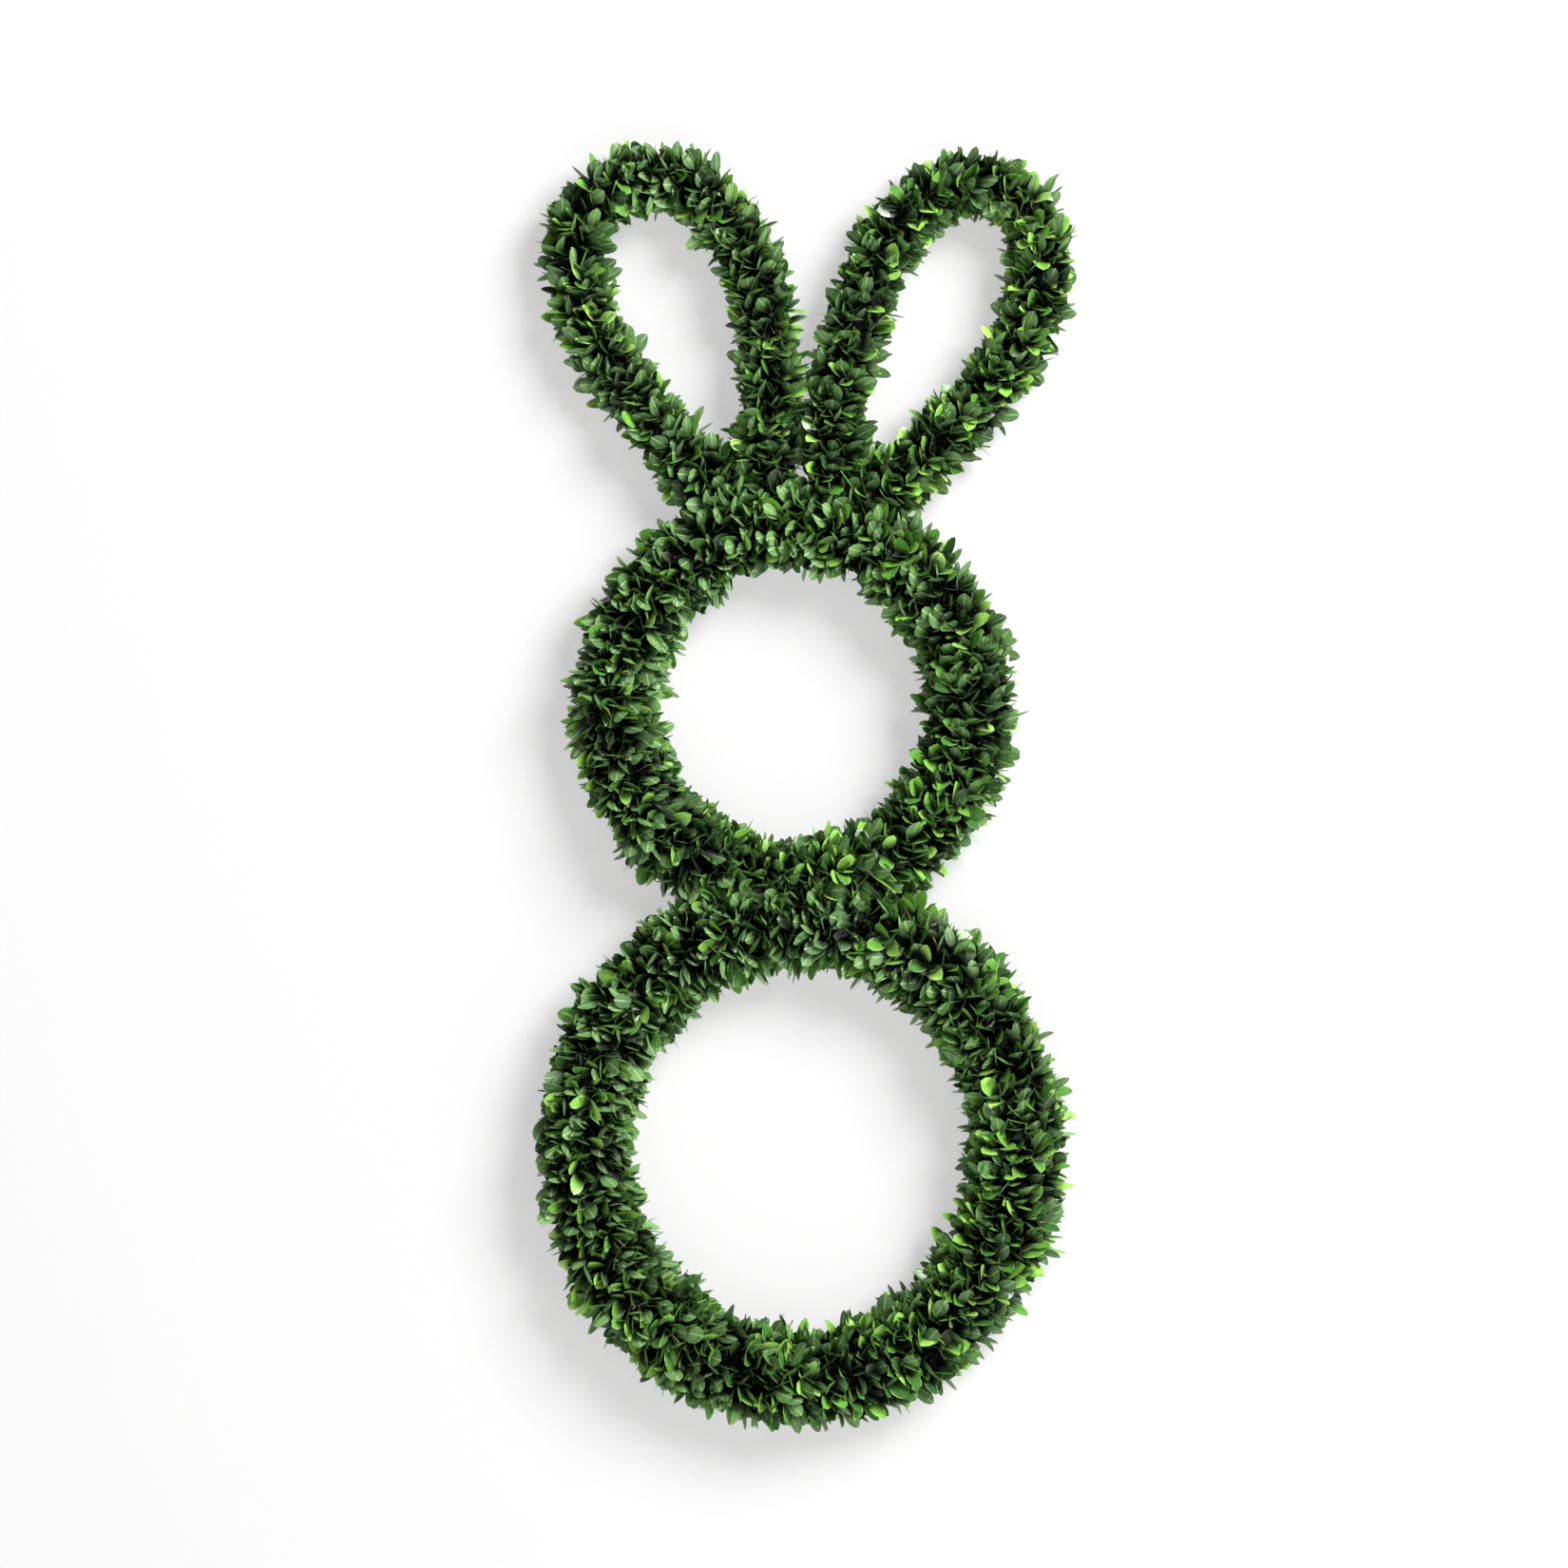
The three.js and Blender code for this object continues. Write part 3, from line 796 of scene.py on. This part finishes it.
foliageMaterials = [  # in the order of the finishes of leaves, stems and cores
    glossyLeaf(),
    leafUnderside(),
    barkFinish("boxwood_twig", palette["twig"], roughness=0.7, scale=400),
    # the cores' finish is painted shade, near black
    barkFinish("painted_shade_stems", palette["core"], roughness=0.85, scale=250),
]
frameWire = wireFinish("green_coated_wire", palette["greenWire"], metallic=0.0)
loopWire = wireFinish("galvanised_wire", palette["zinc"], metallic=0.9)

# The wires are the CAD nodes themselves, each with its own finish.
for name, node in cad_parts.items():
    if name.endswith("_wire") or name.startswith("neck_strut"):
        node.material_slots[0].material = frameWire
    if name == "hanging_loop":
        node.material_slots[0].material = loopWire
print("materials:", len(bpy.data.materials))


# Bunches of leaves, one for each CAD node that they replace. A core and a reach are half sizes:
# away from the loop's inside, to the front and to the back.

body = {"bunches": 12, "core": (27 * mm, 25 * mm, 18 * mm), "reach": (37 * mm, 36 * mm, 24 * mm)}
head = {"bunches": 10, "core": (24.5 * mm, 23 * mm, 17 * mm), "reach": (34.5 * mm, 33 * mm, 23 * mm)}
ear = {
    "bunches": 10,
    "core": (17 * mm, 16 * mm, 12 * mm),
    "reach": (26 * mm, 25 * mm, 18.5 * mm),
    "rootShare": 3 / 26,  # of the covered length, at each foot
    "rootReach": (29.5 * mm, 28 * mm, 18.5 * mm),
    "low": -36 * mm,  # the ears' leaves end here, on the head
}
counted = []


# A bunch covers one or more stretches of a line. Whatever lies in a bare room is pressed forward.
def addBunch(node, stretches, look, low=None):
    parts = []
    for line, start, end in stretches:
        parts.append(coreTube(line, start, end, look["core"]))
        parts += bunchLeaves(line, start, end, look["reach"], sprig["outer"], low)
        parts += bunchLeaves(line, start, end, look["reach"], sprig["inner"], low)
    for part in parts:
        press = inBareRoom(part["points"])
        part["points"][..., 1] = np.where(press, bareRooms["front"], part["points"][..., 1])
    piece = meshOf(node + "_leaves", parts, foliageMaterials)
    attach(piece, "root")
    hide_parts(node)
    counted.append(len(piece.data.loops) - 2 * len(piece.data.polygons))  # as triangles


# As many bunches as the ring has, each one over an equal share of it.
def addRing(name, line, look):
    count = look["bunches"]
    for i in range(count):
        addBunch(f"{name}_foliage_{i + 1:02d}", [(line, i / count, (i + 1) / count)], look)


# A bunch over both feet, then equal bunches whose leaves point up both sides, from root to top.
def addEar(name, line):
    foot = loops["earFoot"]
    covered = 1 - 2 * foot
    rootEnd = foot + ear["rootShare"] * covered
    crown = {**ear, "reach": ear["rootReach"]}
    feet = [(line, foot, rootEnd), (line, 1 - foot, 1 - rootEnd)]
    addBunch(f"{name}_root_foliage", feet, crown, ear["low"])
    step = (1 - 2 * rootEnd) / ear["bunches"]
    for i in range(ear["bunches"]):
        start, end = rootEnd + i * step, rootEnd + (i + 1) * step
        if i >= ear["bunches"] / 2:
            start, end = end, start
        addBunch(f"{name}_foliage_{i + 1:02d}", [(line, start, end)], ear, ear["low"])


addRing("body", bodyLine, body)
addRing("head", headLine, head)
addEar("left_ear", leftLine)
addEar("right_ear", rightLine)
print("foliage triangles:", sum(counted), "in", len(counted), "pieces, the largest", max(counted))


# Wall, floor, light and camera. Places and sizes are in metres, powers in watts.

studio = {
    "wallBehind": 1.5 * mm,  # the wreath's back
    "wallHalf": 3.0,
    "wallShade": (0.225, 0.225, 0.225),
    "wallGlow": 0.5,
    "floorDepth": 0.55,  # under the wreath
    "floorShade": (0.8, 0.8, 0.79),
    "floorGlow": 0.0,
    "paintRoughness": 0.9,
    "keyPlace": (2.9, -3.7, 2.6),
    "keySize": 3.0,
    "keyPower": 760,
    "fillPlace": (-1.8, -2.6, 0.2),
    "fillSize": 2.5,
    "fillPower": 6,
    "skyStrength": 0.06,
}


# One face with four corners, which belongs to the stage.
def sheetOf(name, corners, material):
    mesh = bpy.data.meshes.new(name)
    mesh.from_pydata(corners, [], [(0, 1, 2, 3)])
    mesh.materials.append(material)
    piece = bpy.data.objects.new(name, mesh)
    bpy.context.collection.objects.link(piece)


# Matt white paint, seen only from its painted side.
def wallPaint(name, color, glow):
    material, nodes, surface = newMaterial(name)
    surface.inputs["Base Color"].default_value = (*color, 1)
    surface.inputs["Roughness"].default_value = studio["paintRoughness"]
    surface.inputs["Emission Color"].default_value = (1, 1, 1, 1)
    surface.inputs["Emission Strength"].default_value = glow
    clear = nodes.add("ShaderNodeBsdfTransparent")
    behind = nodes.add("ShaderNodeNewGeometry").outputs["Backfacing"]
    both = nodes.add("ShaderNodeMixShader", {0: behind, 1: surface.outputs[0], 2: clear.outputs[0]})
    output = next(node for node in nodes.tree.nodes if node.type == "OUTPUT_MATERIAL")
    nodes.tree.links.new(both.outputs[0], output.inputs["Surface"])
    return material


# The wall just behind the wreath, and the floor from the wall's foot forwards.
def addStage():
    wide = studio["wallHalf"]
    wallY = cadBox[1][1] + studio["wallBehind"]
    floorZ = cadBox[0][2] - studio["floorDepth"]
    left, right = (-wide, wallY, floorZ), (wide, wallY, floorZ)
    wall = [left, right, (wide, wallY, wide), (-wide, wallY, wide)]
    floor = [(-wide, -2 * wide, floorZ), (wide, -2 * wide, floorZ), right, left]
    sheetOf("wall", wall, wallPaint("white_wall", studio["wallShade"], studio["wallGlow"]))
    sheetOf("floor", floor, wallPaint("pale_floor", studio["floorShade"], studio["floorGlow"]))


# A round soft light that is turned towards its target.
def addLight(name, place, size, power, target):
    lamp = bpy.data.lights.new(name, "AREA")
    lamp.shape, lamp.size, lamp.energy = "DISK", size, power
    light = bpy.data.objects.new(name, lamp)
    bpy.context.collection.objects.link(light)
    light.location = place
    light.rotation_euler = (target - light.location).to_track_quat("-Z", "Y").to_euler()


# Even white light from all round.
def addSky():
    world = bpy.data.worlds.new("studio")
    world.use_nodes = True
    background = world.node_tree.nodes["Background"]
    background.inputs["Color"].default_value = (1, 1, 1, 1)
    background.inputs["Strength"].default_value = studio["skyStrength"]
    bpy.context.scene.world = world


# Square on, from far away. The middle of the frame looks at viewCentre on the wreath, a pixel
# covers viewPixel there, and lens = sensor * distance / the width that the frame covers.

view = {
    "pixels": 1650,  # width and height of the frame
    "viewPixel": 0.6709 * mm,
    "viewCentre": (-5.4 * mm, -211.7 * mm),
    "distance": 4.0,
    "sensor": 36,  # width in millimetres, as Blender takes it
    "clipEnd": 30,
}


def addCamera():
    camera = bpy.data.cameras.new("camera")
    width = view["pixels"] * view["viewPixel"]
    camera.sensor_width = view["sensor"]
    camera.lens = camera.sensor_width * view["distance"] / width
    camera.clip_end = view["clipEnd"]
    holder = bpy.data.objects.new("camera", camera)
    bpy.context.collection.objects.link(holder)
    x, z = view["viewCentre"]
    holder.location = (x, bodyCentre[1] - view["distance"], z)
    holder.rotation_euler = (math.pi / 2, 0, 0)
    bpy.context.scene.camera = holder


addStage()
middle = (cadBox[0] + cadBox[1]) / 2
addLight("key", studio["keyPlace"], studio["keySize"], studio["keyPower"], middle)
addLight("fill", studio["fillPlace"], studio["fillSize"], studio["fillPower"], middle)
addSky()
addCamera()
bpy.context.scene.view_settings.view_transform = "Standard"
print("stage, lights and camera are in place")
